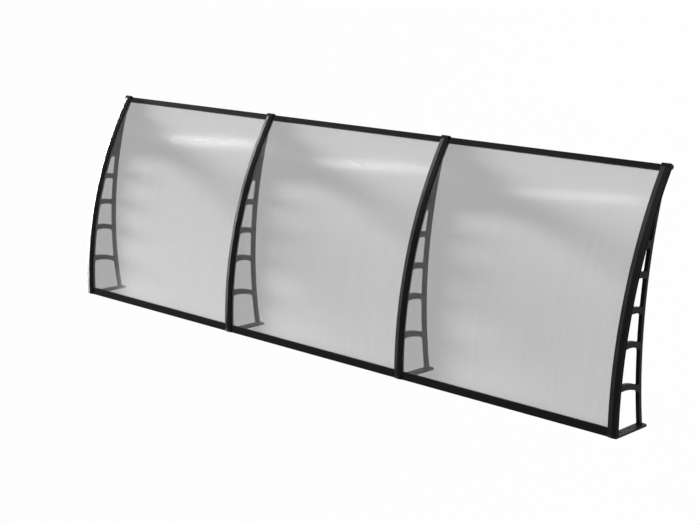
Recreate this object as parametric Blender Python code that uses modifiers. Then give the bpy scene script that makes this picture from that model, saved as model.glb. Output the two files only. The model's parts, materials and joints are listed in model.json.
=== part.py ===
"""Wall-mounted door canopy: curved sheets held between moulded ladder brackets.

The canopy stands off a wall plane at y = 0 and reaches out along -Y, with +Z up.
The origin is the middle of the centre rear rail's back face.
Metres throughout. Side views are drawn in two lengths: how far a point is out
from the wall, and how far it is down from where the crown line meets the wall.
"""

import math

import bmesh
import bpy
from mathutils import Matrix, Vector

# Layout of the canopy
BAY_PITCH = 1.000
BAY_COUNT = 3
PROJECTION = 0.955
CROWN_RADIUS = 1.610
CROWN_LIFT = 0.050
ARC_STEPS = 24

# Clearances
FIT_GAP = 0.0003
SHEET_SIDE_GAP = 0.002
SHEET_END_GAP = 0.0005

# Sheets
SHEET_THICKNESS = 0.005

# Arm of the bracket, as depths below the crown line
BRACKET_WIDTH = 0.038
COVER_CROWN = 0.003
COVER_EDGE = 0.0055
CROWN_FLAT = 0.005
CROWN_SIDE_DROP = 0.0004
COVER_EASE = 0.001
FLANGE_THICKNESS = 0.004
RIB_WIDTH = 0.008
STEM_WIDTH = 0.015
STEM_DEPTH = 0.012
STEM_TAPER_LENGTH = 0.060

# Wall plate
PLATE_THICKNESS = 0.0075
PLATE_LENGTH = 0.204
PLATE_CORNER = 0.012
BOLT_HOLE_RADIUS = 0.00425
BOLT_HOLE_DROPS = (0.052, 0.112)
BOLT_HOLE_RISE = 0.0095

# Strut: a circular bow from the foot of the wall plate to where it runs into the arm
STRUT_DEPTH = 0.016
STRUT_RADIUS = 1.850
STRUT_FOOT_RISE = 0.027
STRUT_FOOT_EASE = 0.012
STRUT_MEET_BACK = 0.1186

# Rungs: how far short of that meeting each joins the arm and the strut, and its arch
RUNG_THICKNESS = 0.023
RUNGS = (
    (0.664, 0.686, 0.008),
    (0.513, 0.527, 0.008),
    (0.389, 0.398, 0.004),
    (0.264, 0.271, 0.002),
    (0.159, 0.163, 0.000),
)
OPENING_EASE = 0.010
GUSSET_THICKNESS = 0.005
GUSSET_END_GAP = 0.005

# Nose block at the front end of the arm
NOSE_LENGTH = 0.014
NOSE_REACH = 0.005
NOSE_PROUD = 0.001
NOSE_DEPTH = 0.026
NOSE_EASE = 0.009
NOSE_CHAMFER = 0.002

# Rails
RAIL_LIP = 0.002
RAIL_WALL = 0.0018
REAR_RAIL_REACH = 0.033
REAR_RAIL_SLOT = 0.020
REAR_RAIL_BOX = 0.024
REAR_RAIL_HEIGHT = 0.0215
FRONT_RAIL_REACH = 0.025
FRONT_RAIL_SLOT = 0.014
FRONT_RAIL_HEIGHT = 0.0155
RAIL_EASE = 0.001
LUG_LENGTH = 0.026

# Screws
SCREW_RADIUS = 0.0016
SCREW_HEAD_RADIUS = 0.0035
SCREW_HEAD_HEIGHT = 0.0022
SCREW_HEAD_EASE = 0.0008
SCREW_SIDES = 8
SCREW_POCKET_RADIUS = 0.0041
SCREW_POCKET_DEPTH = 0.006
COVER_SCREW_BITE = 0.0045
COVER_SCREW_NOSE_BACK = 0.045
RAIL_SCREW_INSET = 0.014
RAIL_SCREW_BITE = 0.008

# Depths that follow from the sizes above
COVER_UNDERSIDE = COVER_CROWN + COVER_EDGE
SHEET_TOP = COVER_UNDERSIDE + FIT_GAP
SHEET_BOTTOM = SHEET_TOP + SHEET_THICKNESS
FLANGE_TOP = SHEET_BOTTOM + FIT_GAP
FLANGE_BOTTOM = FLANGE_TOP + FLANGE_THICKNESS
STEM_BOTTOM = FLANGE_BOTTOM + STEM_DEPTH
RIB_TOP = COVER_UNDERSIDE + FIT_GAP
RAIL_TOP = COVER_UNDERSIDE - RAIL_LIP
REAR_RAIL_BOTTOM = RAIL_TOP + REAR_RAIL_HEIGHT
FRONT_RAIL_BOTTOM = RAIL_TOP + FRONT_RAIL_HEIGHT
POCKET_FLOOR = STEM_BOTTOM - SCREW_POCKET_DEPTH
NOSE_BACK = NOSE_LENGTH - NOSE_REACH
OVERLAP = PLATE_THICKNESS / 3

# The crown line's circle
CENTRE_OUT = CROWN_RADIUS * math.sin(CROWN_LIFT)
CENTRE_DOWN = CROWN_RADIUS * math.cos(CROWN_LIFT)
FRONT_ANGLE = math.asin((PROJECTION - CENTRE_OUT) / CROWN_RADIUS)
CROWN_HEIGHT = RAIL_TOP + REAR_RAIL_HEIGHT / 2

# Drawing planes: a side view, and a view square to the wall
SIDE_VIEW = Matrix(((0, 0, 1, 0), (-1, 0, 0, 0), (0, -1, 0, CROWN_HEIGHT), (0, 0, 0, 1)))
WALL_VIEW = Matrix(((1, 0, 0, 0), (0, 0, 1, 0), (0, -1, 0, CROWN_HEIGHT), (0, 0, 0, 1)))

FINISHES = {
    "bracket_plastic": ((0.018, 0.018, 0.019), 0.38, 0.0),
    "cover_plastic": ((0.020, 0.020, 0.021), 0.34, 0.0),
    "sheet_polycarbonate": ((0.78, 0.79, 0.80), 0.15, 0.0),
    "rail_aluminium": ((0.022, 0.022, 0.024), 0.35, 0.6),
    "screw_steel": ((0.35, 0.35, 0.36), 0.30, 1.0),
}


def arc_point(angle, depth):
    """A point out and down, at an angle of the crown circle and a depth below the crown line."""
    radius = CROWN_RADIUS - depth
    return (CENTRE_OUT + radius * math.sin(angle), CENTRE_DOWN - radius * math.cos(angle))


def arc_angle(out, depth):
    """The angle at which the line at this depth stands this far out from the wall."""
    return math.asin((out - CENTRE_OUT) / (CROWN_RADIUS - depth))


def wall_point(out, depth):
    """A point at a distance out from the wall and a depth below the crown line."""
    return arc_point(arc_angle(out, depth), depth)


def front_point(back, depth):
    """A point measured back along the crown line from the rails' front face."""
    return arc_point(FRONT_ANGLE - back / CROWN_RADIUS, depth)


def plate_end():
    """How far down the wall plate reaches."""
    return wall_point(0, RIB_TOP)[1] + PLATE_LENGTH


def strut_ends():
    """Where the strut's centre line leaves the wall, and where it meets the arm."""
    return Vector((0, plate_end() - STRUT_FOOT_RISE)), Vector(front_point(STRUT_MEET_BACK, STEM_BOTTOM))


def strut_centre():
    """Centre of the circle through the strut's two ends, on the side away from the arm."""
    foot, meet = strut_ends()
    chord = meet - foot
    rise = math.sqrt(STRUT_RADIUS ** 2 - chord.length_squared / 4)
    return (foot + meet) / 2 + Vector((-chord.y, chord.x)).normalized() * rise


def strut_point(out, offset):
    """A point on the strut's bow, offset away from the arm."""
    centre = strut_centre()
    radius = STRUT_RADIUS - offset
    angle = math.asin((out - centre.x) / radius)
    return (out, centre.y - radius * math.cos(angle))


def rungs():
    """Each rung as its distance out at the arm, its distance out at the strut, and its arch."""
    meet = strut_ends()[1].x
    return [(meet - arm, meet - strut, rise) for arm, strut, rise in RUNGS]


def steps_between(start, end, count):
    """Evenly spaced values strictly between two values."""
    return [start + (end - start) * (i + 1) / (count + 1) for i in range(count)]


def first_out_where(test, low, high):
    """The distance out at which a rising test turns true, by halving."""
    for _ in range(40):
        middle = (low + high) / 2
        if test(middle):
            high = middle
        else:
            low = middle
    return high


def eased(corners):
    """Round the corners of a loop of (point, ease) pairs with a short quadratic curve."""
    loop = []
    for i, (point, ease) in enumerate(corners):
        here = Vector(point)
        if ease == 0:
            loop.append(here)
            continue
        before = Vector(corners[i - 1][0]) - here
        after = Vector(corners[(i + 1) % len(corners)][0]) - here
        start = here + before.normalized() * min(ease, before.length * 0.45)
        end = here + after.normalized() * min(ease, after.length * 0.45)
        for t in (0.0, 0.33, 0.67, 1.0):
            loop.append(start * (1 - t) ** 2 + here * (2 * t * (1 - t)) + end * t ** 2)
    return loop


def square(points, ease=0.0):
    """A loop of corners that all share one ease."""
    return [(point, ease) for point in points]


def evaluated_mesh(item):
    """The object's mesh as the viewport shows it, after its modifiers."""
    bpy.context.view_layer.update()
    graph = bpy.context.evaluated_depsgraph_get()
    return bpy.data.meshes.new_from_object(item.evaluated_get(graph), depsgraph=graph)


def weld(mesh):
    """Join the loose caps of a mesh made from a curve and point its faces outwards."""
    work = bmesh.new()
    work.from_mesh(mesh)
    bmesh.ops.remove_doubles(work, verts=work.verts, dist=0.00001)
    bmesh.ops.recalc_face_normals(work, faces=work.faces)
    work.to_mesh(mesh)
    work.free()


def flat_solid(name, loops, thickness, plane):
    """A flat outline with its holes, thickened evenly about its drawing plane."""
    curve = bpy.data.curves.new(name, "CURVE")
    curve.dimensions = "2D"
    curve.fill_mode = "BOTH"
    curve.extrude = thickness / 2
    for loop in loops:
        spline = curve.splines.new("POLY")
        spline.points.add(len(loop) - 1)
        for point, place in zip(spline.points, loop):
            point.co = (place[0], place[1], 0, 1)
        spline.use_cyclic_u = True
    drawn = bpy.data.objects.new(name, curve)
    TOOLS.objects.link(drawn)
    mesh = evaluated_mesh(drawn)
    weld(mesh)
    solid = bpy.data.objects.new(name, mesh)
    TOOLS.objects.link(solid)
    solid.matrix_world = plane
    bpy.data.objects.remove(drawn)
    bpy.data.curves.remove(curve)
    return as_tool(solid)


def swept_solid(name, profile, start, end, steps=ARC_STEPS):
    """A profile of (across, depth) points swept round the crown circle between two angles."""
    centre = Vector((0, -CENTRE_OUT, CROWN_HEIGHT - CENTRE_DOWN))
    turn = Matrix.Rotation(start, 3, "X")
    work = bmesh.new()
    corners = [work.verts.new(centre + turn @ Vector((x, 0, CROWN_RADIUS - d))) for x, d in profile]
    work.faces.new(corners)
    bmesh.ops.spin(
        work,
        geom=work.verts[:] + work.edges[:] + work.faces[:],
        cent=centre,
        axis=(1, 0, 0),
        angle=end - start,
        steps=steps,
    )
    bmesh.ops.recalc_face_normals(work, faces=work.faces)
    mesh = bpy.data.meshes.new(name)
    work.to_mesh(mesh)
    work.free()
    solid = bpy.data.objects.new(name, mesh)
    TOOLS.objects.link(solid)
    return as_tool(solid)


def rod(name, radius, low, high, sides=12):
    """A round cutter along its own Z axis."""
    work = bmesh.new()
    shift = Matrix.Translation((0, 0, (low + high) / 2))
    bmesh.ops.create_cone(
        work,
        cap_ends=True,
        segments=sides,
        radius1=radius,
        radius2=radius,
        depth=high - low,
        matrix=shift,
    )
    mesh = bpy.data.meshes.new(name)
    work.to_mesh(mesh)
    work.free()
    cutter = bpy.data.objects.new(name, mesh)
    TOOLS.objects.link(cutter)
    return as_tool(cutter)


def as_tool(item):
    """Mark a shape that only serves to build another one."""
    item.hide_render = True
    item.display_type = "WIRE"
    return item


def combine(base, joined=(), cut=()):
    """Join shapes to a base shape, then cut others from it, and return the finished mesh."""
    for operation, shapes in (("UNION", joined), ("DIFFERENCE", cut)):
        for shape in shapes:
            step = base.modifiers.new(shape.name, "BOOLEAN")
            step.operation = operation
            step.solver = "EXACT"
            step.object = shape
    mesh = evaluated_mesh(base)
    mesh.transform(base.matrix_world)
    return mesh


def put_at(item, across, angle, depth):
    """Place a turned shape square to the crown line, its +Z pointing at the weather side."""
    out, down = arc_point(angle, depth)
    item.location = (across, -out, CROWN_HEIGHT - down)
    item.rotation_euler = (angle, 0, 0)
    return item


def finish(name):
    """A plain Principled material."""
    colour, roughness, metallic = FINISHES[name]
    material = bpy.data.materials.new(name)
    material.use_nodes = True
    shader = material.node_tree.nodes["Principled BSDF"]
    shader.inputs["Base Color"].default_value = (*colour, 1)
    shader.inputs["Roughness"].default_value = roughness
    shader.inputs["Metallic"].default_value = metallic
    material.diffuse_color = (*colour, 1)
    return material


def add_part(name, mesh, material, across=0.0):
    """Add one named piece of the canopy under the frame."""
    part = bpy.data.objects.new(name, mesh)
    part.data.materials.clear()
    part.data.materials.append(material)
    part.data.shade_smooth()
    part.data.set_sharp_from_angle(angle=math.radians(30))
    part.location.x = across
    part.parent = ROOT
    CANOPY.objects.link(part)
    return part


def bracket_planes():
    """Centre planes of the brackets across the canopy."""
    first = -BAY_PITCH * BAY_COUNT / 2
    return [first + BAY_PITCH * i for i in range(BAY_COUNT + 1)]


def cover_screw_angles():
    """One screw in the middle of each opening, and one close behind the nose."""
    ends = [0.0] + [rung[0] for rung in rungs()]
    middles = [(a + b) / 2 for a, b in zip(ends, ends[1:])]
    return [arc_angle(out, STEM_BOTTOM) for out in middles] + [nose_screw_angle()]


def nose_screw_angle():
    """Angle of the cover screw behind the nose."""
    return FRONT_ANGLE - COVER_SCREW_NOSE_BACK / CROWN_RADIUS


def opening(near, far):
    """The loop between two rungs; the first opening starts at the wall plate."""
    half = RUNG_THICKNESS / 2
    arm_far, strut_far = far[0] - half, far[1] - half
    if near is None:
        arm_near, strut_near, near_arch = PLATE_THICKNESS - OVERLAP, PLATE_THICKNESS - OVERLAP, 0.0
    else:
        arm_near, strut_near, near_arch = near[0] + half, near[1] + half, near[2]
    arm_side = [wall_point(o, STEM_BOTTOM) for o in steps_between(arm_near, arm_far, 2)]
    strut_side = [strut_point(o, -STRUT_DEPTH / 2) for o in steps_between(strut_far, strut_near, 2)]
    corners = [
        wall_point(arm_near, STEM_BOTTOM),
        wall_point(arm_far, STEM_BOTTOM),
        strut_point(strut_far, -STRUT_DEPTH / 2),
        strut_point(strut_near, -STRUT_DEPTH / 2),
    ]
    loop = [(corners[0], OPENING_EASE)] + square(arm_side)
    loop += [(corners[1], OPENING_EASE)] + square(arch(corners[1], corners[2], far[2]))
    loop += [(corners[2], OPENING_EASE)] + square(strut_side)
    loop += [(corners[3], OPENING_EASE)] + square(arch(corners[3], corners[0], near_arch))
    return eased(loop)


def arch(start, end, rise):
    """Points between two corners, bowed away from the wall by a rise at the middle."""
    if rise == 0:
        return []
    points = []
    for t in (0.25, 0.5, 0.75):
        out = start[0] + (end[0] - start[0]) * t + rise * 4 * t * (1 - t)
        points.append((out, start[1] + (end[1] - start[1]) * t))
    return points


def gusset_reach():
    """How far out the open triangle between stem and strut runs before it closes."""
    def closed(out):
        return strut_point(out, -STRUT_DEPTH / 2)[1] - wall_point(out, STEM_BOTTOM)[1] < GUSSET_END_GAP

    return first_out_where(closed, rungs()[-1][0], PROJECTION)


def merge_reach():
    """How far out the strut's rear edge runs into the arm's stem."""
    def merged(out):
        return strut_point(out, STRUT_DEPTH / 2)[1] < wall_point(out, STEM_BOTTOM)[1]

    return first_out_where(merged, rungs()[-1][0], PROJECTION)


def gusset_recess():
    """The loop of the recess beside the gusset, from the last rung to where it closes."""
    near = rungs()[-1][0] + RUNG_THICKNESS / 2
    far = gusset_reach()
    arm_side = [wall_point(o, STEM_BOTTOM) for o in steps_between(near, far, 2)]
    strut_side = [strut_point(o, -STRUT_DEPTH / 2) for o in steps_between(far, near, 2)]
    loop = [(wall_point(near, STEM_BOTTOM), OPENING_EASE)] + square(arm_side)
    loop += square([wall_point(far, STEM_BOTTOM), strut_point(far, -STRUT_DEPTH / 2)])
    loop += square(strut_side) + [(strut_point(near, -STRUT_DEPTH / 2), OPENING_EASE)]
    return eased(loop)


def spine_outline():
    """Side view of stem and strut together, as one closed loop."""
    tip_back = NOSE_BACK / 2
    taper_out = front_point(STEM_TAPER_LENGTH, STEM_BOTTOM)[0]
    merge = merge_reach()
    last = front_point(tip_back, FLANGE_TOP)[0]
    mid_flange = (FLANGE_TOP + FLANGE_BOTTOM) / 2
    top = [wall_point(o, mid_flange) for o in steps_between(OVERLAP, last, ARC_STEPS - 1)]
    stem = [wall_point(o, STEM_BOTTOM) for o in steps_between(taper_out, merge, 2)]
    strut = [strut_point(o, STRUT_DEPTH / 2) for o in steps_between(merge, STRUT_FOOT_EASE * 2, 14)]
    foot = strut_point(PLATE_THICKNESS - OVERLAP, STRUT_DEPTH / 2)
    loop = square([wall_point(OVERLAP, mid_flange)] + top)
    loop += square([front_point(tip_back, mid_flange), front_point(tip_back, NOSE_DEPTH - OVERLAP)])
    loop += square([wall_point(taper_out, STEM_BOTTOM)] + stem + [strut_point(merge, STRUT_DEPTH / 2)])
    loop += square(strut)
    loop += [(foot, STRUT_FOOT_EASE), ((foot[0], foot[1] + STRUT_FOOT_EASE), 0.0)]
    loop += square([(OVERLAP, foot[1] + STRUT_FOOT_EASE)])
    return eased(loop)


def make_spine():
    """Stem, strut and rungs: one plate with an opening between each pair of rungs."""
    fars = rungs()
    holes = [opening(near, far) for near, far in zip([None] + fars, fars)]
    return flat_solid("spine", [spine_outline()] + holes + [gusset_recess()], STEM_WIDTH, SIDE_VIEW)


def make_gusset():
    """Thin web that fills the recess between the last rung and the closing of the strut."""
    near = rungs()[-1][0]
    far = gusset_reach() + GUSSET_END_GAP
    arm_side = [wall_point(o, STEM_BOTTOM - OVERLAP) for o in (near, (near + far) / 2, far)]
    strut_side = [strut_point(o, 0.0) for o in (far, (near + far) / 2, near)]
    return flat_solid("gusset", [eased(square(arm_side + strut_side))], GUSSET_THICKNESS, SIDE_VIEW)


def make_nose():
    """Rounded block that closes the front end of the arm."""
    corners = [
        (front_point(-NOSE_REACH, -NOSE_PROUD), NOSE_EASE),
        (front_point(NOSE_BACK, -NOSE_PROUD), 0.0),
        (front_point(NOSE_BACK, NOSE_DEPTH), 0.0),
        (front_point(-NOSE_REACH, NOSE_DEPTH), NOSE_EASE),
    ]
    nose = flat_solid("nose", [eased(corners)], BRACKET_WIDTH, SIDE_VIEW)
    chamfer = nose.modifiers.new("chamfer", "BEVEL")
    chamfer.width = NOSE_CHAMFER
    chamfer.segments = 2
    chamfer.limit_method = "ANGLE"
    chamfer.angle_limit = math.radians(60)
    return nose


def make_plate():
    """Wall plate with rounded lower corners."""
    half = BRACKET_WIDTH / 2
    top = wall_point(0, RIB_TOP)[1]
    corners = [
        ((-half, top), 0.0),
        ((half, top), 0.0),
        ((half, plate_end()), PLATE_CORNER),
        ((-half, plate_end()), PLATE_CORNER),
    ]
    plane = Matrix.Translation((0, -PLATE_THICKNESS / 2, 0)) @ WALL_VIEW
    return flat_solid("plate", [eased(corners)], PLATE_THICKNESS, plane)


def bolt_holes():
    """Cutters for the holes through the wall plate: two below its top, one above its lower end."""
    top = wall_point(0, RIB_TOP)[1]
    downs = [top + drop for drop in BOLT_HOLE_DROPS] + [plate_end() - BOLT_HOLE_RISE]
    holes = []
    for down in downs:
        hole = rod("bolt_hole", BOLT_HOLE_RADIUS, -PLATE_THICKNESS, PLATE_THICKNESS * 2)
        hole.location.z = CROWN_HEIGHT - down
        hole.rotation_euler.x = math.radians(90)
        holes.append(hole)
    return holes


def make_lug(name, corners, side):
    """Tenon that a hollow rail slides over, on one side of the bracket."""
    length = BRACKET_WIDTH / 2 + LUG_LENGTH
    plane = Matrix.Translation((side * length / 2, 0, 0)) @ SIDE_VIEW
    return flat_solid(name, [eased(square(corners))], length, plane)


def rear_chamber(clearance):
    """Corners of the rear rail's lower chamber, drawn in by a clearance."""
    near, far = RAIL_WALL + clearance, REAR_RAIL_BOX - RAIL_WALL - clearance
    high = FLANGE_TOP + RAIL_LIP + clearance
    low = REAR_RAIL_BOTTOM - RAIL_WALL - clearance
    return [wall_point(near, high), wall_point(far, high), wall_point(far, low), wall_point(near, low)]


def front_chamber(clearance):
    """Corners of the front rail's chamber, drawn in by a clearance."""
    front = RAIL_WALL + clearance
    back = FRONT_RAIL_REACH - FRONT_RAIL_SLOT - RAIL_WALL - clearance
    high = RAIL_TOP + RAIL_LIP + clearance
    low = FRONT_RAIL_BOTTOM - RAIL_WALL - clearance
    return [front_point(front, high), front_point(back, high), front_point(back, low), front_point(front, low)]


def rear_screw_angle():
    """Angle of the rear rail's screws, in the middle of its lower chamber."""
    return arc_angle(REAR_RAIL_BOX / 2, REAR_RAIL_BOTTOM)


def front_screw_angle():
    """Angle of the front rail's screws, in the middle of its chamber."""
    return FRONT_ANGLE - (FRONT_RAIL_REACH - FRONT_RAIL_SLOT) / 2 / CROWN_RADIUS


def rail_screw_across():
    """Distance of a rail screw from the bracket's centre plane."""
    return BRACKET_WIDTH / 2 + RAIL_SCREW_INSET


def bracket_mesh(sides):
    """One moulded bracket, with rail lugs on the given sides."""
    wall_angle = arc_angle(OVERLAP, FLANGE_TOP)
    nose_angle = FRONT_ANGLE - NOSE_BACK / 2 / CROWN_RADIUS
    half = BRACKET_WIDTH / 2
    rib = RIB_WIDTH / 2
    deck = [
        (-half, FLANGE_TOP),
        (-rib, FLANGE_TOP),
        (-rib, RIB_TOP),
        (rib, RIB_TOP),
        (rib, FLANGE_TOP),
        (half, FLANGE_TOP),
        (half, FLANGE_BOTTOM),
        (-half, FLANGE_BOTTOM),
    ]
    joined = [
        swept_solid("deck", deck, wall_angle, nose_angle),
        make_gusset(),
        make_nose(),
        make_plate(),
    ]
    cut = bolt_holes()
    for side in sides:
        joined.append(make_lug("rear_lug", rear_chamber(FIT_GAP), side))
        joined.append(make_lug("front_lug", front_chamber(FIT_GAP), side))
        across = side * rail_screw_across()
        rear = rod("rear_screw_hole", SCREW_RADIUS + FIT_GAP, -RAIL_SCREW_BITE, RAIL_SCREW_BITE)
        front = rod("front_screw_hole", SCREW_RADIUS + FIT_GAP, -RAIL_SCREW_BITE, RAIL_SCREW_BITE)
        cut.append(put_at(rear, across, rear_screw_angle(), REAR_RAIL_BOTTOM))
        cut.append(put_at(front, across, front_screw_angle(), FRONT_RAIL_BOTTOM))
    for angle in cover_screw_angles():
        pocket = rod("screw_pocket", SCREW_POCKET_RADIUS, -STEM_DEPTH, 0)
        hole = rod("screw_hole", SCREW_RADIUS + FIT_GAP, -STEM_DEPTH / 4, POCKET_FLOOR, 8)
        cut.append(put_at(pocket, 0, angle, POCKET_FLOOR))
        cut.append(put_at(hole, 0, angle, POCKET_FLOOR))
    return combine(make_spine(), joined, cut)


def cover_mesh():
    """Cover strip with a crown along its middle and blind holes for its screws."""
    half = BRACKET_WIDTH / 2
    flat = CROWN_FLAT / 2
    profile = [
        (-half, COVER_UNDERSIDE),
        (half, COVER_UNDERSIDE),
        (half, COVER_CROWN + COVER_EASE),
        (half - COVER_EASE, COVER_CROWN),
        (flat, CROWN_SIDE_DROP),
        (0, 0),
        (-flat, CROWN_SIDE_DROP),
        (-half + COVER_EASE, COVER_CROWN),
        (-half, COVER_CROWN + COVER_EASE),
    ]
    nose_angle = FRONT_ANGLE - (NOSE_BACK + FIT_GAP) / CROWN_RADIUS
    strip = swept_solid("cover", profile, arc_angle(0, 0), nose_angle)
    cut = []
    for angle in cover_screw_angles():
        hole = rod("cover_hole", SCREW_RADIUS + FIT_GAP, -COVER_EDGE, COVER_SCREW_BITE + FIT_GAP, 8)
        cut.append(put_at(hole, 0, angle, COVER_UNDERSIDE))
    return combine(strip, (), cut)


def sheet_mesh():
    """One curved sheet, its edges inside the slots of rails and arms."""
    half = BAY_PITCH / 2 - RIB_WIDTH / 2 - SHEET_SIDE_GAP
    start = arc_angle(REAR_RAIL_REACH - REAR_RAIL_SLOT + SHEET_END_GAP, SHEET_TOP)
    end = FRONT_ANGLE - (FRONT_RAIL_REACH - FRONT_RAIL_SLOT + SHEET_END_GAP) / CROWN_RADIUS
    profile = [(-half, SHEET_TOP), (half, SHEET_TOP), (half, SHEET_BOTTOM), (-half, SHEET_BOTTOM)]
    return combine(swept_solid("sheet", profile, start, end))


def rail_length():
    """Length of a rail between the sides of two brackets."""
    return BAY_PITCH - BRACKET_WIDTH - 2 * FIT_GAP


def rail_holes(angle, depth):
    """Screw clearance holes near both ends of a rail."""
    holes = []
    for side in (-1, 1):
        hole = rod("rail_hole", SCREW_RADIUS + FIT_GAP, -RAIL_WALL, RAIL_WALL * 2, 8)
        across = side * (BAY_PITCH / 2 - rail_screw_across())
        holes.append(put_at(hole, across, angle, depth))
    return holes


def rear_rail_mesh():
    """Rear rail: a slot for the sheet over a hollow box that lies flat on the wall."""
    slot = REAR_RAIL_REACH - REAR_RAIL_SLOT
    lip_bottom = FLANGE_TOP + RAIL_LIP
    outer = [
        (wall_point(0, RAIL_TOP), 0.0),
        (wall_point(REAR_RAIL_REACH, RAIL_TOP), RAIL_EASE),
        (wall_point(REAR_RAIL_REACH, COVER_UNDERSIDE), 0.0),
        (wall_point(slot, COVER_UNDERSIDE), 0.0),
        (wall_point(slot, FLANGE_TOP), 0.0),
        (wall_point(REAR_RAIL_REACH, FLANGE_TOP), 0.0),
        (wall_point(REAR_RAIL_REACH, lip_bottom), RAIL_EASE),
        (wall_point(REAR_RAIL_BOX, lip_bottom), 0.0),
        (wall_point(REAR_RAIL_BOX, REAR_RAIL_BOTTOM), RAIL_EASE),
        (wall_point(0, REAR_RAIL_BOTTOM), 0.0),
    ]
    upper_chamber = [
        wall_point(RAIL_WALL, COVER_UNDERSIDE),
        wall_point(slot - RAIL_WALL, COVER_UNDERSIDE),
        wall_point(slot - RAIL_WALL, FLANGE_TOP),
        wall_point(RAIL_WALL, FLANGE_TOP),
    ]
    loops = [eased(outer), eased(square(upper_chamber)), eased(square(rear_chamber(0.0)))]
    rail = flat_solid("rear_rail", loops, rail_length(), SIDE_VIEW)
    return combine(rail, (), rail_holes(rear_screw_angle(), REAR_RAIL_BOTTOM))


def front_rail_mesh():
    """Front rail: a slot for the sheet behind a hollow front bar."""
    slot = FRONT_RAIL_REACH - FRONT_RAIL_SLOT
    lip_bottom = FLANGE_TOP + RAIL_LIP
    outer = [
        (front_point(0, RAIL_TOP), RAIL_EASE * 2),
        (front_point(FRONT_RAIL_REACH, RAIL_TOP), RAIL_EASE),
        (front_point(FRONT_RAIL_REACH, COVER_UNDERSIDE), 0.0),
        (front_point(slot, COVER_UNDERSIDE), 0.0),
        (front_point(slot, FLANGE_TOP), 0.0),
        (front_point(FRONT_RAIL_REACH, FLANGE_TOP), 0.0),
        (front_point(FRONT_RAIL_REACH, lip_bottom), RAIL_EASE),
        (front_point(slot, lip_bottom), 0.0),
        (front_point(slot, FRONT_RAIL_BOTTOM), RAIL_EASE),
        (front_point(0, FRONT_RAIL_BOTTOM), RAIL_EASE * 2),
    ]
    loops = [eased(outer), eased(square(front_chamber(0.0)))]
    rail = flat_solid("front_rail", loops, rail_length(), SIDE_VIEW)
    return combine(rail, (), rail_holes(front_screw_angle(), FRONT_RAIL_BOTTOM))


def screw_mesh(name, length):
    """Pan-head screw turned about Z: the seat of its head at zero, its tip at +length."""
    profile = [
        (0, length),
        (SCREW_RADIUS, length - SCREW_RADIUS),
        (SCREW_RADIUS, 0),
        (SCREW_HEAD_RADIUS, 0),
        (SCREW_HEAD_RADIUS - SCREW_HEAD_EASE, -SCREW_HEAD_HEIGHT),
        (0, -SCREW_HEAD_HEIGHT),
    ]
    mesh = bpy.data.meshes.new(name)
    edges = [(i, i + 1) for i in range(len(profile) - 1)]
    mesh.from_pydata([(x, 0, z) for x, z in profile], edges, [])
    turned = bpy.data.objects.new(name, mesh)
    TOOLS.objects.link(as_tool(turned))
    turn = turned.modifiers.new("turn", "SCREW")
    turn.steps = SCREW_SIDES
    turn.render_steps = SCREW_SIDES
    turn.use_merge_vertices = True
    turn.merge_threshold = 0.00001
    return evaluated_mesh(turned)


def add_screws(name, mesh, places):
    """Add a set of like screws, each where (across, angle, depth) says."""
    for number, (across, angle, depth) in enumerate(places, start=1):
        screw = add_part(f"{name}_{number:02d}", mesh, MATERIALS["screw_steel"])
        put_at(screw, across, angle, depth)


def build_brackets():
    """Four brackets and their cover strips; the end brackets have lugs inwards only."""
    planes = bracket_planes()
    inner = bracket_mesh((-1, 1))
    meshes = [bracket_mesh((1,))] + [inner] * (len(planes) - 2) + [bracket_mesh((-1,))]
    cover = cover_mesh()
    for number, (across, mesh) in enumerate(zip(planes, meshes), start=1):
        add_part(f"bracket_{number}", mesh, MATERIALS["bracket_plastic"], across)
        add_part(f"cover_strip_{number}", cover, MATERIALS["cover_plastic"], across)


def build_bays():
    """Sheet, rear rail and front rail of each bay."""
    meshes = {
        "sheet": (sheet_mesh(), "sheet_polycarbonate"),
        "rear_rail": (rear_rail_mesh(), "rail_aluminium"),
        "front_rail": (front_rail_mesh(), "rail_aluminium"),
    }
    for bay in range(BAY_COUNT):
        across = (bay - (BAY_COUNT - 1) / 2) * BAY_PITCH
        for name, (mesh, material) in meshes.items():
            add_part(f"{name}_{bay + 1}", mesh, MATERIALS[material], across)


def build_screws():
    """Cover screws under each arm and rail screws under each rail end."""
    planes = bracket_planes()
    cover_length = POCKET_FLOOR - COVER_UNDERSIDE + COVER_SCREW_BITE
    seat = POCKET_FLOOR + FIT_GAP
    cover_places = [(x, angle, seat) for x in planes for angle in cover_screw_angles()]
    add_screws("cover_screw", screw_mesh("cover_screw", cover_length), cover_places)
    rail_screw = screw_mesh("rail_screw", RAIL_SCREW_BITE)
    ends = []
    for x in planes:
        for side in (-1, 1):
            across = x + side * rail_screw_across()
            if planes[0] < across < planes[-1]:
                ends.append(across)
    rear = [(x, rear_screw_angle(), REAR_RAIL_BOTTOM + FIT_GAP) for x in ends]
    front = [(x, front_screw_angle(), FRONT_RAIL_BOTTOM + FIT_GAP) for x in ends]
    add_screws("rear_rail_screw", rail_screw, rear)
    add_screws("front_rail_screw", rail_screw, front)


for item in list(bpy.data.objects):
    bpy.data.objects.remove(item)

CANOPY = bpy.data.collections.new("door_canopy")
TOOLS = bpy.data.collections.new("cutters")
bpy.context.scene.collection.children.link(CANOPY)
bpy.context.scene.collection.children.link(TOOLS)
ROOT = bpy.data.objects.new("canopy_frame", None)
CANOPY.objects.link(ROOT)
MATERIALS = {name: finish(name) for name in FINISHES}

build_brackets()
build_bays()
build_screws()
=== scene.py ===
"""Looks for the wall-mounted door canopy.

The canopy reaches out from the wall along -Y with +Z up, in metres.
Each new surface is worked out as whole arrays: a cross-section carried round the
circle of the crown line.
"""

import json
import math

import bpy
import numpy as np
from mathutils import Matrix, Vector

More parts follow.
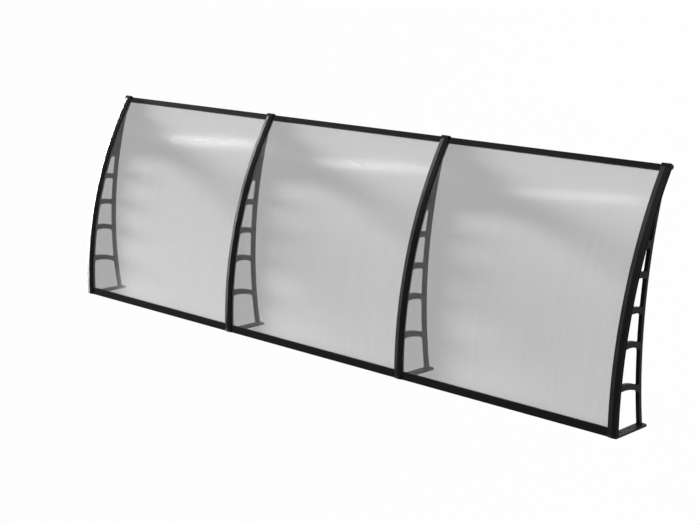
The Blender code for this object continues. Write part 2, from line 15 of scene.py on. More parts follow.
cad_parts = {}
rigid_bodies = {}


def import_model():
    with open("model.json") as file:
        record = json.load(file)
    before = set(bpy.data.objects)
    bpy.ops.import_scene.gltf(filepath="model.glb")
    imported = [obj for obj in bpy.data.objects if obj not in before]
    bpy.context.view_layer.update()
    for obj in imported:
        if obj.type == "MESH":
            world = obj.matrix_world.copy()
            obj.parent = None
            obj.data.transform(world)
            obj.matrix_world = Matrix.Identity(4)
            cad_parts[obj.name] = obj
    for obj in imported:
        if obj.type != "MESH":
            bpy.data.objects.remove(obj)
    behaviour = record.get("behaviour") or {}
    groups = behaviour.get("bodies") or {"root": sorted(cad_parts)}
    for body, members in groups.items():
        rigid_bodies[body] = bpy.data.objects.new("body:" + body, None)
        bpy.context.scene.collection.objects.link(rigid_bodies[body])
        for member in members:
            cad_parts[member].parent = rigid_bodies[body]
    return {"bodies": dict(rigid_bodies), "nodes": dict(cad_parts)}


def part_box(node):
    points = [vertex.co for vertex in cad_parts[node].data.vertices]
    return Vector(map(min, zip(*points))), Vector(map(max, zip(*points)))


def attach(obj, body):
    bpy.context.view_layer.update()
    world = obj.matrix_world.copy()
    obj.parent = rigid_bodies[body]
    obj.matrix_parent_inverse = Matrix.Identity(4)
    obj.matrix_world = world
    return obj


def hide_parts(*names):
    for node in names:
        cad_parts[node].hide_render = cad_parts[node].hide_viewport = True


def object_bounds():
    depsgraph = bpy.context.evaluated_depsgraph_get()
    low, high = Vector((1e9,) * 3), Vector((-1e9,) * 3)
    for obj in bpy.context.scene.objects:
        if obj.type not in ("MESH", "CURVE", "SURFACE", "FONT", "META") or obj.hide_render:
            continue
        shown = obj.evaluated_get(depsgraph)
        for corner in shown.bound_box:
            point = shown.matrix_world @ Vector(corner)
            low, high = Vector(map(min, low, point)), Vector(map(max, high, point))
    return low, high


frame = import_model()

bl_info = {
    "name": "Door canopy",
    "version": (1, 0, 0),
    "blender": (4, 5, 0),
    "location": "3D View > Sidebar > Canopy",
    "description": "Dresses the door canopy: sheets, cover strips, brackets, rails, screws and stage",
    "category": "Object",
}

CAD_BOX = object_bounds()
BODY = next(iter(frame["bodies"]))

# Grids
STEPS_PER_FLUTE = 6
RIDGE_STEPS = 6
RIDGE_START = 0.04
EASE_STEPS = 6
SHARP_EDGE = math.radians(35)

# Studio
FLOOR_REACH = 30
FLOOR_LINES = 7
FLOOR_TONE = (0.92, 0.92, 0.92)
FLOOR_SHOWN = 0.985
KEY_PLACE = (-1.5, -4.2, 3.4)
KEY_TARGET = (0.0, -0.5, -0.05)
KEY_SIZE = (3.2, 3.2)
STREAK_SHARES = (0.60, 0.03)
WHITE = (1, 1, 1, 1)


def nodes_named(start):
    """The frame's nodes whose name starts this way, in order."""
    return sorted(name for name in frame["nodes"] if name.startswith(start))


# Shapes


def arch_grid(across, depth, angles):
    """A cross-section carried round the circle of the crown line.

    A point at angle a and depth d below the crown line lies at radius R - d from the
    circle's centre: y = centre y - (R - d) sin a, z = centre z + (R - d) cos a.
    """
    shape = bpy.context.scene.canopy_shape
    centre_y = -shape.crown_radius * math.sin(shape.crown_lift)
    centre_z = shape.crown_height - shape.crown_radius * math.cos(shape.crown_lift)
    radius = shape.crown_radius - depth[None, :]
    turn = angles[:, None]
    return np.stack(
        (
            np.broadcast_to(across[None, :], (angles.size, across.size)),
            centre_y - radius * np.sin(turn),
            centre_z + radius * np.cos(turn),
        ),
        axis=-1,
    )


def arch_range(node):
    """First and last angle of a node about the centre of the crown line's circle."""
    shape = bpy.context.scene.canopy_shape
    mesh = frame["nodes"][node].data
    points = np.empty(len(mesh.vertices) * 3)
    mesh.vertices.foreach_get("co", points)
    points = points.reshape(-1, 3)
    out = -points[:, 1] - shape.crown_radius * math.sin(shape.crown_lift)
    up = points[:, 2] - shape.crown_height + shape.crown_radius * math.cos(shape.crown_lift)
    angles = np.arctan2(out, up)
    return angles.min(), angles.max()


def ring_faces(rows, columns):
    """Quads between neighbouring rows of a grid whose columns close on themselves."""
    row, column = np.meshgrid(np.arange(rows - 1), np.arange(columns), indexing="ij")
    beside = (column + 1) % columns
    quads = np.stack(
        (
            row * columns + column,
            (row + 1) * columns + column,
            (row + 1) * columns + beside,
            row * columns + beside,
        ),
        axis=-1,
    )
    return quads.reshape(-1, 4)


def end_faces(rows, columns):
    """Quads that close both ends of a section whose second half mirrors its first."""
    half = columns // 2
    first = np.arange(half - 1)
    mirror = columns - 1 - first
    near = np.stack((first, first + 1, mirror - 1, mirror), axis=-1)
    far = near[:, ::-1] + (rows - 1) * columns
    return np.concatenate((near, far))


def surface(name, points, quads, uv=None):
    """A mesh object at the origin from arrays of points and quads, with its UV map."""
    mesh = bpy.data.meshes.new(name)
    mesh.vertices.add(len(points))
    mesh.vertices.foreach_set("co", points.astype(np.float32).ravel())
    mesh.loops.add(quads.size)
    mesh.loops.foreach_set("vertex_index", quads.astype(np.int32).ravel())
    mesh.polygons.add(len(quads))
    mesh.polygons.foreach_set("loop_start", np.arange(len(quads), dtype=np.int32) * 4)
    if uv is not None:
        layer = mesh.uv_layers.new(name="along")
        layer.data.foreach_set("uv", uv[quads.ravel()].astype(np.float32).ravel())
    mesh.update(calc_edges=True)
    mesh.validate()
    mesh.shade_smooth()
    mesh.set_sharp_from_angle(angle=SHARP_EDGE)
    item = bpy.data.objects.new(name, mesh)
    bpy.context.scene.collection.objects.link(item)
    return item


def place(item, material, nodes):
    """Give a new piece its material, its body and the nodes that it stands for."""
    item.data.materials.append(material)
    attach(item, BODY)
    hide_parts(*nodes)


def dress(nodes, material):
    """Put one material on nodes that are shown as they are."""
    for name in nodes:
        data = frame["nodes"][name].data
        data.materials.clear()
        data.materials.append(material)


# Materials


def shader_tree(name):
    """A new material with its tree and its Principled shader."""
    material = bpy.data.materials.new(name)
    material.use_nodes = True
    tree = material.node_tree
    return material, tree, tree.nodes["Principled BSDF"]


def add_node(tree, kind, **values):
    """A node with some of its properties and input values set."""
    node = tree.nodes.new(kind)
    for key, value in values.items():
        if key in node.inputs:
            node.inputs[key].default_value = value
        else:
            setattr(node, key, value)
    return node


def noise(tree, vector, scale, detail=2.0):
    """Noise on a vector, as a value."""
    node = add_node(tree, "ShaderNodeTexNoise", Scale=scale, Detail=detail)
    tree.links.new(vector, node.inputs["Vector"])
    return node.outputs["Fac"]


def spread(tree, value, low, high, start=0.3, end=0.7):
    """Map a value to a range."""
    node = tree.nodes.new("ShaderNodeMapRange")
    for key, number in (("From Min", start), ("From Max", end), ("To Min", low), ("To Max", high)):
        node.inputs[key].default_value = number
    tree.links.new(value, node.inputs["Value"])
    return node.outputs["Result"]


def shade_between(tree, value, dark, light):
    """A colour between two, chosen by a value."""
    node = add_node(tree, "ShaderNodeMix", data_type="RGBA")
    tree.links.new(value, node.inputs["Factor"])
    colours = [socket for socket in node.inputs if socket.type == "RGBA"]
    colours[0].default_value = (*dark, 1)
    colours[1].default_value = (*light, 1)
    return next(socket for socket in node.outputs if socket.type == "RGBA")


def moulded_plastic(name, colour, roughness):
    """Satin black plastic: fine moulded grain, slightly uneven gloss and softened edges."""
    material, tree, shader = shader_tree(name)
    place_on = tree.nodes.new("ShaderNodeTexCoord").outputs["Object"]
    grain = noise(tree, place_on, 1400.0, 3.0)
    patches = noise(tree, place_on, 9.0, 3.0)
    lighter = tuple(c * 1.35 for c in colour)
    darker = tuple(c * 0.8 for c in colour)
    tone = shade_between(tree, spread(tree, patches, 0, 1), darker, lighter)
    gloss = spread(tree, patches, roughness - 0.04, roughness + 0.06)
    tree.links.new(tone, shader.inputs["Base Color"])
    tree.links.new(gloss, shader.inputs["Roughness"])
    edge = add_node(tree, "ShaderNodeBevel", samples=4, Radius=0.0009)
    bump = add_node(tree, "ShaderNodeBump", Strength=0.25, Distance=0.0002)
    tree.links.new(grain, bump.inputs["Height"])
    tree.links.new(edge.outputs["Normal"], bump.inputs["Normal"])
    tree.links.new(bump.outputs["Normal"], shader.inputs["Normal"])
    shader.inputs["Specular IOR Level"].default_value = 0.07
    return material


def coated_rail(name, colour, roughness):
    """Black coated aluminium: faint drawing lines along the rail under an even satin coat."""
    material, tree, shader = shader_tree(name)
    place_on = tree.nodes.new("ShaderNodeTexCoord").outputs["Object"]
    stretch = add_node(tree, "ShaderNodeMapping", Scale=(3.0, 900.0, 900.0))
    tree.links.new(place_on, stretch.inputs["Vector"])
    lines = noise(tree, stretch.outputs["Vector"], 1.0, 2.0)
    patches = noise(tree, place_on, 5.0, 2.0)
    lighter = tuple(c * 1.4 for c in colour)
    tone = shade_between(tree, spread(tree, lines, 0, 1), colour, lighter)
    gloss = spread(tree, patches, roughness - 0.04, roughness + 0.05)
    tree.links.new(tone, shader.inputs["Base Color"])
    tree.links.new(gloss, shader.inputs["Roughness"])
    edge = add_node(tree, "ShaderNodeBevel", samples=4, Radius=0.0006)
    bump = add_node(tree, "ShaderNodeBump", Strength=0.15, Distance=0.0001)
    tree.links.new(lines, bump.inputs["Height"])
    tree.links.new(edge.outputs["Normal"], bump.inputs["Normal"])
    tree.links.new(bump.outputs["Normal"], shader.inputs["Normal"])
    shader.inputs["Specular IOR Level"].default_value = 0.07
    return material


def plated_steel(name):
    """Zinc plated steel with a faint mottle."""
    material, tree, shader = shader_tree(name)
    place_on = tree.nodes.new("ShaderNodeTexCoord").outputs["Object"]
    mottle = noise(tree, place_on, 700.0, 3.0)
    tone = shade_between(tree, spread(tree, mottle, 0, 1), (0.36, 0.36, 0.37), (0.52, 0.52, 0.51))
    tree.links.new(tone, shader.inputs["Base Color"])
    tree.links.new(spread(tree, mottle, 0.26, 0.40), shader.inputs["Roughness"])
    shader.inputs["Metallic"].default_value = 1.0
    return material


def fluted_polycarbonate(name):
    """Translucent twin-wall sheet: partly clear, partly glowing with light from its far side.

    The ribs between its two skins show as fine lines, and broader bands run along them.
    """
    look = bpy.context.scene.canopy_sheet
    material, tree, shader = shader_tree(name)
    along = add_node(tree, "ShaderNodeUVMap", uv_map="along").outputs["UV"]
    parts = tree.nodes.new("ShaderNodeSeparateXYZ")
    tree.links.new(along, parts.inputs["Vector"])
    saw = add_node(tree, "ShaderNodeMath", operation="PINGPONG")
    saw.inputs[1].default_value = 0.5
    tree.links.new(parts.outputs["X"], saw.inputs[0])
    rib = spread(tree, saw.outputs["Value"], 1.0, 0.0, 0.05, 0.13)
    place_on = tree.nodes.new("ShaderNodeTexCoord").outputs["Object"]
    bands = add_node(tree, "ShaderNodeMapping", Scale=(70.0, 1.2, 1.2))
    tree.links.new(place_on, bands.inputs["Vector"])
    band = noise(tree, bands.outputs["Vector"], 1.0, 3.0)
    cover = spread(tree, band, look.cover - look.uneven, look.cover + look.uneven)
    thicker = add_node(tree, "ShaderNodeMath", operation="MULTIPLY_ADD")
    thicker.inputs[1].default_value = look.rib_cover
    tree.links.new(rib, thicker.inputs[0])
    tree.links.new(cover, thicker.inputs[2])
    shader.inputs["Base Color"].default_value = (*look.tone, 1)
    stretch = add_node(tree, "ShaderNodeMapping", Scale=(260.0, 6.0, 6.0))
    tree.links.new(place_on, stretch.inputs["Vector"])
    drawn = noise(tree, stretch.outputs["Vector"], 1.0, 2.0)
    bump = add_node(tree, "ShaderNodeBump", Strength=0.03, Distance=0.0002)
    tree.links.new(drawn, bump.inputs["Height"])
    tree.links.new(bump.outputs["Normal"], shader.inputs["Normal"])
    gloss = spread(tree, drawn, look.roughness - 0.02, look.roughness + 0.03)
    tree.links.new(gloss, shader.inputs["Roughness"])
    shader.inputs["IOR"].default_value = 1.58
    shader.inputs["Specular IOR Level"].default_value = look.gloss
    glow = tree.nodes.new("ShaderNodeBsdfTranslucent")
    glow.inputs["Color"].default_value = (*look.glow_tone, 1)
    solid = tree.nodes.new("ShaderNodeMixShader")
    solid.inputs["Fac"].default_value = look.glow
    tree.links.new(shader.outputs["BSDF"], solid.inputs[1])
    tree.links.new(glow.outputs["BSDF"], solid.inputs[2])
    clear = tree.nodes.new("ShaderNodeBsdfTransparent")
    whole = tree.nodes.new("ShaderNodeMixShader")
    tree.links.new(thicker.outputs["Value"], whole.inputs["Fac"])
    tree.links.new(clear.outputs["BSDF"], whole.inputs[1])
    tree.links.new(solid.outputs["Shader"], whole.inputs[2])
    tree.links.new(whole.outputs["Shader"], tree.nodes["Material Output"].inputs["Surface"])
    return material


def straight_sight(tree):
    """1 for rays that look straight, mirror or pass clear glass, and 0 for rays that gather light."""
    sight = tree.nodes.new("ShaderNodeLightPath")
    through = add_node(tree, "ShaderNodeMath", operation="SUBTRACT", use_clamp=True)
    tree.links.new(sight.outputs["Is Transmission Ray"], through.inputs[0])
    tree.links.new(sight.outputs["Is Diffuse Ray"], through.inputs[1])
    seen = through.outputs["Value"]
    for kind in ("Is Camera Ray", "Is Glossy Ray"):
        more = add_node(tree, "ShaderNodeMath", operation="ADD", use_clamp=True)
        tree.links.new(seen, more.inputs[0])
        tree.links.new(sight.outputs[kind], more.inputs[1])
        seen = more.outputs["Value"]
    return seen


def pale_ground(name, colour, shown):
    """A pale ground that keeps shadows: partly lit, and partly seen as white by straight sight."""
    material, tree, shader = shader_tree(name)
    shader.inputs["Base Color"].default_value = (*colour, 1)
    shader.inputs["Roughness"].default_value = 0.9
    share = add_node(tree, "ShaderNodeMath", operation="MULTIPLY")
    share.inputs[1].default_value = shown
    tree.links.new(straight_sight(tree), share.inputs[0])
    glow = add_node(tree, "ShaderNodeEmission", Strength=1.0)
    mixed = tree.nodes.new("ShaderNodeMixShader")
    tree.links.new(share.outputs["Value"], mixed.inputs["Fac"])
    tree.links.new(shader.outputs["BSDF"], mixed.inputs[1])
    tree.links.new(glow.outputs["Emission"], mixed.inputs[2])
    tree.links.new(mixed.outputs["Shader"], tree.nodes["Material Output"].inputs["Surface"])
    return material


# Settings


class CanopyShape(bpy.types.PropertyGroup):
    """Sizes that the new pieces share with the frame"""

    crown_radius: bpy.props.FloatProperty(
        name="Crown radius",
        description="Radius of the crown line's circle",
        default=1.610,
        unit="LENGTH",
    )
    crown_lift: bpy.props.FloatProperty(
        name="Crown lift",
        description="Angle of the crown line at the wall",
        default=0.050,
        unit="ROTATION",
    )
    crown_height: bpy.props.FloatProperty(
        name="Crown height",
        description="Height of the crown line at the wall",
        default=0.01725,
        unit="LENGTH",
    )
    arch_steps: bpy.props.IntProperty(
        name="Steps round the arch",
        description="Rows of faces from the wall to the front",
        default=48,
    )


class CanopySheet(bpy.types.PropertyGroup):
    """Flutes and finish of the translucent sheets"""

    top: bpy.props.FloatProperty(
        name="Upper skin",
        description="Depth of the upper skin below the crown line",
        default=0.0088,
        unit="LENGTH",
    )
    bottom: bpy.props.FloatProperty(
        name="Lower skin",
        description="Depth of the lower skin below the crown line",
        default=0.0138,
        unit="LENGTH",
    )
    flute: bpy.props.FloatProperty(
        name="Flute width",
        description="Distance between two ribs of the sheet",
        default=0.006,
        unit="LENGTH",
    )
    dip: bpy.props.FloatProperty(
        name="Flute dip",
        description="How far a skin sinks between two ribs",
        default=0.00001,
        unit="LENGTH",
    )
    tone: bpy.props.FloatVectorProperty(
        name="Tone",
        description="Colour of the sheet's own surface",
        default=(0.05, 0.0505, 0.0515),
        subtype="COLOR",
    )
    glow_tone: bpy.props.FloatVectorProperty(
        name="Glow tone",
        description="Colour of light that comes through the sheet",
        default=(0.90, 0.905, 0.91),
        subtype="COLOR",
    )
    glow: bpy.props.FloatProperty(
        name="Glow",
        description="Share of a skin that glows with the light behind it",
        default=0.4,
        subtype="FACTOR",
    )
    cover: bpy.props.FloatProperty(
        name="Cover",
        description="Share of what lies behind that one skin hides",
        default=0.410,
        subtype="FACTOR",
    )
    uneven: bpy.props.FloatProperty(
        name="Banding",
        description="How much the cover varies between bands along the flutes",
        default=0.010,
        subtype="FACTOR",
    )
    rib_cover: bpy.props.FloatProperty(
        name="Rib cover",
        description="Extra share that a skin hides along its ribs",
        default=0.09,
        subtype="FACTOR",
    )
    roughness: bpy.props.FloatProperty(
        name="Roughness",
        description="Roughness of the skins",
        default=0.125,
        subtype="FACTOR",
    )
    gloss: bpy.props.FloatProperty(
        name="Gloss",
        description="How strongly the skins mirror their surroundings",
        default=0.2,
        subtype="FACTOR",
    )


class CanopyTrim(bpy.types.PropertyGroup):
    """Sizes and colours of strips, brackets, rails and screws"""

    strip_top: bpy.props.FloatProperty(
        name="Strip edge depth",
        description="Depth of the strip's shoulders below its crown",
        default=0.003,
        unit="LENGTH",
    )
    strip_bottom: bpy.props.FloatProperty(
        name="Strip underside",
        description="Depth of the strip's underside below its crown",
        default=0.0085,
        unit="LENGTH",
    )
    strip_ease: bpy.props.FloatProperty(
        name="Strip ease",
        description="Rounding of the strip's shoulders",
        default=0.0010,
        unit="LENGTH",
    )
    crown_flat: bpy.props.FloatProperty(
        name="Crown ridge",
        description="Half width of the ridge along the strip",
        default=0.0025,
        unit="LENGTH",
    )
    crown_drop: bpy.props.FloatProperty(
        name="Crown drop",
        description="How far the ridge falls from its middle to its sides",
        default=0.0004,
        unit="LENGTH",
    )
    plastic: bpy.props.FloatVectorProperty(
        name="Plastic",
        description="Colour of brackets and strips",
        default=(0.007, 0.007, 0.0074),
        subtype="COLOR",
    )
    rail: bpy.props.FloatVectorProperty(
        name="Rail coat",
        description="Colour of the rails' coating",
        default=(0.0065, 0.0065, 0.007),
        subtype="COLOR",
    )
    plastic_roughness: bpy.props.FloatProperty(
        name="Plastic roughness",
        description="Roughness of brackets and strips",
        default=0.38,
        subtype="FACTOR",
    )
    rail_roughness: bpy.props.FloatProperty(
        name="Rail roughness",
        description="Roughness of the rails' coating",
        default=0.32,
        subtype="FACTOR",
    )


class CanopyStage(bpy.types.PropertyGroup):
    """Floor, lamps and camera"""

    floor_drop: bpy.props.FloatProperty(
        name="Floor",
        description="How far the floor lies below the origin",
        default=4.6,
        unit="LENGTH",
    )
    camera_place: bpy.props.FloatVectorProperty(
        name="Camera place",
        description="Where the camera stands",
        default=(-4.0615, -1.6577, 4.18975),
        subtype="TRANSLATION",
    )
    camera_heading: bpy.props.FloatVectorProperty(
        name="Camera heading",
        description="Where the camera looks",
        default=(0.66087, 0.21130, -0.72015),
        subtype="DIRECTION",
    )
    camera_up: bpy.props.FloatVectorProperty(
        name="Camera up",
        description="The camera's upward side",
        default=(0.15625, -0.97726, -0.14335),
        subtype="DIRECTION",
    )
    lens: bpy.props.FloatProperty(
        name="Lens",
        description="Focal length in millimetres for a 36 mm sensor",
        default=73.475,
    )
    key: bpy.props.FloatProperty(
        name="Key lamp",
        description="Power of the large soft lamp",
        default=90.0,
        unit="POWER",
    )
    streak: bpy.props.FloatProperty(
        name="Streak lamps",
        description="Power of each narrow lamp mirrored in the sheets",
        default=16.0,
        unit="POWER",
    )
    streak_width: bpy.props.FloatProperty(
        name="Streak width",
        description="Width of each narrow lamp",
        default=0.14,
        unit="LENGTH",
    )
    streak_reach: bpy.props.FloatProperty(
        name="Streak reach",
        description="Distance of each narrow lamp from its sheet",
        default=4.2,
        unit="LENGTH",
    )
    streak_start: bpy.props.FloatProperty(
        name="Streak start",
        description="Angle on the arch where the mirrored lamp begins",
        default=0.456,
        unit="ROTATION",
    )
    streak_end: bpy.props.FloatProperty(
        name="Streak end",
        description="Angle on the arch where the mirrored lamp ends",
        default=0.485,
        unit="ROTATION",
    )
    ambient: bpy.props.FloatProperty(
        name="Ambient",
        description="Strength of the even light from all sides",
        default=0.07,
    )
    side: bpy.props.FloatProperty(
        name="Side softbox",
        description="Power of the softbox that grazes the undersides",
        default=8300.0,
        unit="POWER",
    )
    side_reach: bpy.props.FloatProperty(
        name="Side softbox distance",
        description="Distance of that softbox",
        default=24.0,
        unit="LENGTH",
    )
    side_from_wall: bpy.props.FloatProperty(
        name="Side softbox lean",
        description="How far it stands towards the wall",
        default=0.3,
        unit="LENGTH",
    )
    side_rise: bpy.props.FloatProperty(
        name="Side softbox angle",
        description="Angle of its light to the sheets",
        default=0.07,
        unit="ROTATION",
    )
    side_wide: bpy.props.FloatProperty(
        name="Side softbox width",
        description="Its width along the floor",
        default=30.0,
        unit="LENGTH",
    )
    side_high: bpy.props.FloatProperty(
        name="Side softbox height",
        description="Its height",
        default=1.0,
        unit="LENGTH",
    )
    side_spread: bpy.props.FloatProperty(
        name="Side softbox spread",
        description="Angle that its grid leaves open",
        default=0.45,
        unit="ROTATION",
    )


# Pieces


class CANOPY_OT_sheets(bpy.types.Operator):
    """Make the three translucent sheets"""

    bl_idname = "canopy.sheets"
    bl_label = "Sheets"

    def execute(self, context):
        """Both skins dip between the ribs: depth = skin depth + dip sin^2(pi x / flute)."""
        look = context.scene.canopy_sheet
        steps = context.scene.canopy_shape.arch_steps
        finish = fluted_polycarbonate("translucent_polycarbonate")
        for node in nodes_named("sheet"):
            low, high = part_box(node)
            first, last = arch_range(node)
            flutes = round((high[0] - low[0]) / look.flute)
            count = flutes * STEPS_PER_FLUTE + 1
            share = np.linspace(0, 1, count)
            across = low[0] + (high[0] - low[0]) * share
            sink = look.dip * np.sin(np.pi * share * flutes) ** 2
            x = np.concatenate((across, across[::-1]))
            depth = np.concatenate((look.top + sink, (look.bottom - sink)[::-1]))
            angles = np.linspace(first, last, steps // 2 + 1)
            points = arch_grid(x, depth, angles).reshape(-1, 3)
            quads = np.concatenate((ring_faces(angles.size, x.size), end_faces(angles.size, x.size)))
            turns = np.concatenate((share * flutes, share[::-1] * flutes))
            run = (angles - first) * context.scene.canopy_shape.crown_radius
            uv = np.stack(
                (
                    np.broadcast_to(turns[None, :], (angles.size, x.size)),
                    np.broadcast_to(run[:, None], (angles.size, x.size)),
                ),
                axis=-1,
            ).reshape(-1, 2)
            piece = surface("translucent_" + node, points, quads, uv)
            place(piece, finish, [node])
        return {"FINISHED"}


class CANOPY_OT_strips(bpy.types.Operator):
    """Make the cover strips with their crown line and eased shoulders"""

    bl_idname = "canopy.strips"
    bl_label = "Cover strips"

    def execute(self, context):
        """Depth grows with the square of the distance across the ridge, then evenly down the slopes.

        A quarter circle turns each slope into the side.
        """
        trim = context.scene.canopy_trim
        finish = moulded_plastic("strip_plastic", tuple(trim.plastic), trim.plastic_roughness - 0.04)
        for node in nodes_named("cover_strip"):
            low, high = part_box(node)
            first, last = arch_range(node)
            middle, half = (low[0] + high[0]) / 2, (high[0] - low[0]) / 2
            turn = np.linspace(0, math.pi / 2, EASE_STEPS)
            ease = trim.strip_ease
            edge_x = half - ease + ease * np.sin(turn)
            edge_d = trim.strip_top + ease - ease * np.cos(turn)
            ridge_x = np.linspace(RIDGE_START, 1.0, RIDGE_STEPS) * trim.crown_flat
            ridge_d = trim.crown_drop * (ridge_x / trim.crown_flat) ** 2
            slope_x = np.array([trim.crown_flat * 1.6, half * 0.4, half * 0.7])
            fall = (trim.strip_top - trim.crown_drop) / (half - ease - trim.crown_flat)
            slope_d = trim.crown_drop + (slope_x - trim.crown_flat) * fall
            right_x = np.concatenate((ridge_x, slope_x, edge_x, [half, half * 0.5, ridge_x[0]]))
            right_d = np.concatenate((ridge_d, slope_d, edge_d, [trim.strip_bottom] * 3))
            x = middle + np.concatenate((right_x, -right_x[::-1]))
            depth = np.concatenate((right_d, right_d[::-1]))
            angles = np.linspace(first, last, context.scene.canopy_shape.arch_steps * 2 + 1)
            points = arch_grid(x, depth, angles).reshape(-1, 3)
            quads = np.concatenate((ring_faces(angles.size, x.size), end_faces(angles.size, x.size)))
            piece = surface("crowned_" + node, points, quads)
            place(piece, finish, [node])
        return {"FINISHED"}


class CANOPY_OT_brackets(bpy.types.Operator):
    """Finish the moulded ladder brackets"""

    bl_idname = "canopy.brackets"
    bl_label = "Brackets"

    def execute(self, context):
        trim = context.scene.canopy_trim
        finish = moulded_plastic("bracket_plastic_satin", tuple(trim.plastic), trim.plastic_roughness)
        dress(nodes_named("bracket"), finish)
        return {"FINISHED"}


class CANOPY_OT_rails(bpy.types.Operator):
    """Finish the rails along the wall and along the front"""

    bl_idname = "canopy.rails"
    bl_label = "Rails"

    def execute(self, context):
        trim = context.scene.canopy_trim
        finish = coated_rail("rail_coat", tuple(trim.rail), trim.rail_roughness)
        names = nodes_named("rear_rail") + nodes_named("front_rail")
        dress([name for name in names if "screw" not in name], finish)
        return {"FINISHED"}


class CANOPY_OT_screws(bpy.types.Operator):
    """Finish the screws"""

    bl_idname = "canopy.screws"
    bl_label = "Screws"

    def execute(self, context):
        finish = plated_steel("plated_screw_steel")
        dress([name for name in frame["nodes"] if "screw" in name], finish)
        return {"FINISHED"}


class CANOPY_OT_stage(bpy.types.Operator):
    """Make the floor, the lamps, the world and the camera"""

    bl_idname = "canopy.stage"
    bl_label = "Stage"

    def execute(self, context):
        stage = context.scene.canopy_stage
        self.floor(stage)
        self.world(stage)
        self.lamp("key_softbox", KEY_PLACE, Vector(KEY_TARGET), KEY_SIZE, stage.key)
        for number, node in enumerate(nodes_named("sheet"), start=1):
            low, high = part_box(node)
            starts, ends = (low[0] + (high[0] - low[0]) * share for share in STREAK_SHARES)
            near = self.mirrored(stage, starts, stage.streak_start)
            far = self.mirrored(stage, ends, stage.streak_end)
            self.strip_lamp(f"streak_strip_{number}", near, far, stage.streak_width, stage.streak)
        self.side_lamp(stage)
        self.camera(stage)
        context.scene.view_settings.view_transform = "Standard"
        return {"FINISHED"}

    @staticmethod
    def floor(stage):
        """A flat grid, far wider than the canopy, below it."""
        reach = np.linspace(-FLOOR_REACH, FLOOR_REACH, FLOOR_LINES)
        x, y = np.meshgrid(reach, reach, indexing="xy")
        points = np.stack((x, y, np.full_like(x, -stage.floor_drop)), axis=-1).reshape(-1, 3)
        fields = np.arange(FLOOR_LINES - 1)
        row, column = np.meshgrid(fields, fields, indexing="ij")
        corner = (row * FLOOR_LINES + column).ravel()
        beyond = corner + FLOOR_LINES
        quads = np.stack((corner, corner + 1, beyond + 1, beyond), axis=-1)
        ground = surface("studio_floor", points, quads)
        ground.data.materials.append(pale_ground("studio_floor_pale", FLOOR_TONE, FLOOR_SHOWN))

    @staticmethod
    def world(stage):
        """Even light from all sides, seen as white directly, in gloss and through glass."""
        world = bpy.data.worlds.new("studio_air")
        bpy.context.scene.world = world
        world.use_nodes = True
        tree = world.node_tree
        tree.nodes.clear()
        light = add_node(tree, "ShaderNodeBackground", Strength=stage.ambient)
        white = add_node(tree, "ShaderNodeBackground", Strength=1.0)
        white.inputs["Color"].default_value = WHITE
        light.inputs["Color"].default_value = WHITE
        mixed = tree.nodes.new("ShaderNodeMixShader")
        output = tree.nodes.new("ShaderNodeOutputWorld")
        tree.links.new(straight_sight(tree), mixed.inputs["Fac"])
        tree.links.new(light.outputs["Background"], mixed.inputs[1])
        tree.links.new(white.outputs["Background"], mixed.inputs[2])
        tree.links.new(mixed.outputs["Shader"], output.inputs["Surface"])

    @staticmethod
    def lamp(name, where, target, size, power):
        """A rectangular soft lamp that faces a point and isn't seen directly."""
        data = bpy.data.lights.new(name, "AREA")
        data.shape = "RECTANGLE"
        data.size, data.size_y = size
        data.energy = power
        lamp = bpy.data.objects.new(name, data)
        lamp.location = where
        lamp.rotation_euler = (target - Vector(where)).to_track_quat("-Z", "Y").to_euler()
        lamp.visible_camera = False
        bpy.context.scene.collection.objects.link(lamp)

    @staticmethod
    def mirrored(stage, across, angle):
        """A place in a sheet, and where a lamp stands for the camera to see it mirrored there.

        The lamp's direction is the camera's direction turned half round the sheet's normal.
        """
        depth = bpy.context.scene.canopy_sheet.top
        spot = Vector(arch_grid(np.array([across]), np.array([depth]), np.array([angle]))[0, 0])
        normal = Vector((0, -math.sin(angle), math.cos(angle)))
        sight = (Vector(stage.camera_place) - spot).normalized()
        return spot, spot + (2 * normal.dot(sight) * normal - sight) * stage.streak_reach

    @staticmethod
    def strip_lamp(name, near, far, width, power):
        """A narrow lamp between two places, facing the sheet; each is a spot and a lamp's place."""
        run = far[1] - near[1]
        middle = (near[1] + far[1]) / 2
        back = middle - (near[0] + far[0]) / 2
        side = run.normalized()
        up = back.cross(side).normalized()
        data = bpy.data.lights.new(name, "AREA")
        data.shape = "RECTANGLE"
        data.size, data.size_y = run.length, width
        data.energy = power
        lamp = bpy.data.objects.new(name, data)
        turned = Matrix((side, up, side.cross(up))).transposed().to_4x4()
        lamp.matrix_world = Matrix.Translation(middle) @ turned
        lamp.visible_camera = False
        bpy.context.scene.collection.objects.link(lamp)

    @staticmethod
    def side_lamp(stage):
        """A far softbox that grazes the sheets' undersides from the side away from the camera."""
        lean = (CAD_BOX[0][1] / 3 + stage.side_from_wall) / stage.side_reach
        from_here = Vector((math.cos(stage.side_rise), lean, -math.sin(stage.side_rise)))
        middle = Vector((0.0, CAD_BOX[0][1] / 2, CAD_BOX[0][2] / 3))
        data = bpy.data.lights.new("side_softbox", "AREA")
        data.shape = "RECTANGLE"
        data.size, data.size_y = stage.side_wide, stage.side_high
        data.spread = stage.side_spread
        data.energy = stage.side
        lamp = bpy.data.objects.new("side_softbox", data)
        lamp.location = middle + from_here * stage.side_reach
        lamp.rotation_euler = (-from_here).to_track_quat("-Z", "Y").to_euler()
        lamp.visible_camera = False
        bpy.context.scene.collection.objects.link(lamp)

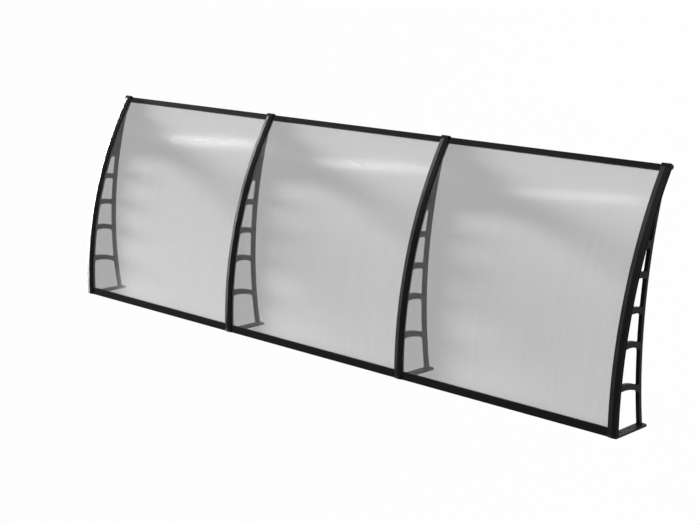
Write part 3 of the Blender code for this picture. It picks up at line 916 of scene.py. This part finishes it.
    @staticmethod
    def camera(stage):
        """The camera at the photograph's angle."""
        data = bpy.data.cameras.new("photo_camera")
        data.sensor_width = 36.0
        data.lens = stage.lens
        camera = bpy.data.objects.new("photo_camera", data)
        back = -Vector(stage.camera_heading).normalized()
        side = Vector(stage.camera_up).cross(back).normalized()
        up = back.cross(side)
        turned = Matrix((side, up, back)).transposed().to_4x4()
        camera.matrix_world = Matrix.Translation(stage.camera_place) @ turned
        bpy.context.scene.collection.objects.link(camera)
        bpy.context.scene.camera = camera


PIECES = (
    CANOPY_OT_sheets,
    CANOPY_OT_strips,
    CANOPY_OT_brackets,
    CANOPY_OT_rails,
    CANOPY_OT_screws,
    CANOPY_OT_stage,
)


class CANOPY_PT_panel(bpy.types.Panel):
    """The canopy's settings and pieces in the sidebar"""

    bl_idname = "CANOPY_PT_panel"
    bl_label = "Door canopy"
    bl_space_type = "VIEW_3D"
    bl_region_type = "UI"
    bl_category = "Canopy"

    def draw(self, context):
        """List each group's settings and a button for each operator."""
        for name in SETTINGS:
            group = getattr(context.scene, name)
            column = self.layout.column(align=True)
            for key in group.__annotations__:
                column.prop(group, key)
        for piece in PIECES:
            self.layout.operator(piece.bl_idname)


SETTINGS = {
    "canopy_shape": CanopyShape,
    "canopy_sheet": CanopySheet,
    "canopy_trim": CanopyTrim,
    "canopy_stage": CanopyStage,
}


def register():
    """Add the settings, the operators and the panel."""
    for kind in (*SETTINGS.values(), *PIECES, CANOPY_PT_panel):
        bpy.utils.register_class(kind)
    for name, group in SETTINGS.items():
        setattr(bpy.types.Scene, name, bpy.props.PointerProperty(type=group))


def unregister():
    """Take the panel, the operators and the settings away again."""
    for name in SETTINGS:
        delattr(bpy.types.Scene, name)
    for kind in reversed((*SETTINGS.values(), *PIECES, CANOPY_PT_panel)):
        bpy.utils.unregister_class(kind)


def main():
    """Make every piece."""
    register()
    bpy.ops.canopy.sheets()
    bpy.ops.canopy.strips()
    bpy.ops.canopy.brackets()
    bpy.ops.canopy.rails()
    bpy.ops.canopy.screws()
    bpy.ops.canopy.stage()


if __name__ == "__main__":
    main()
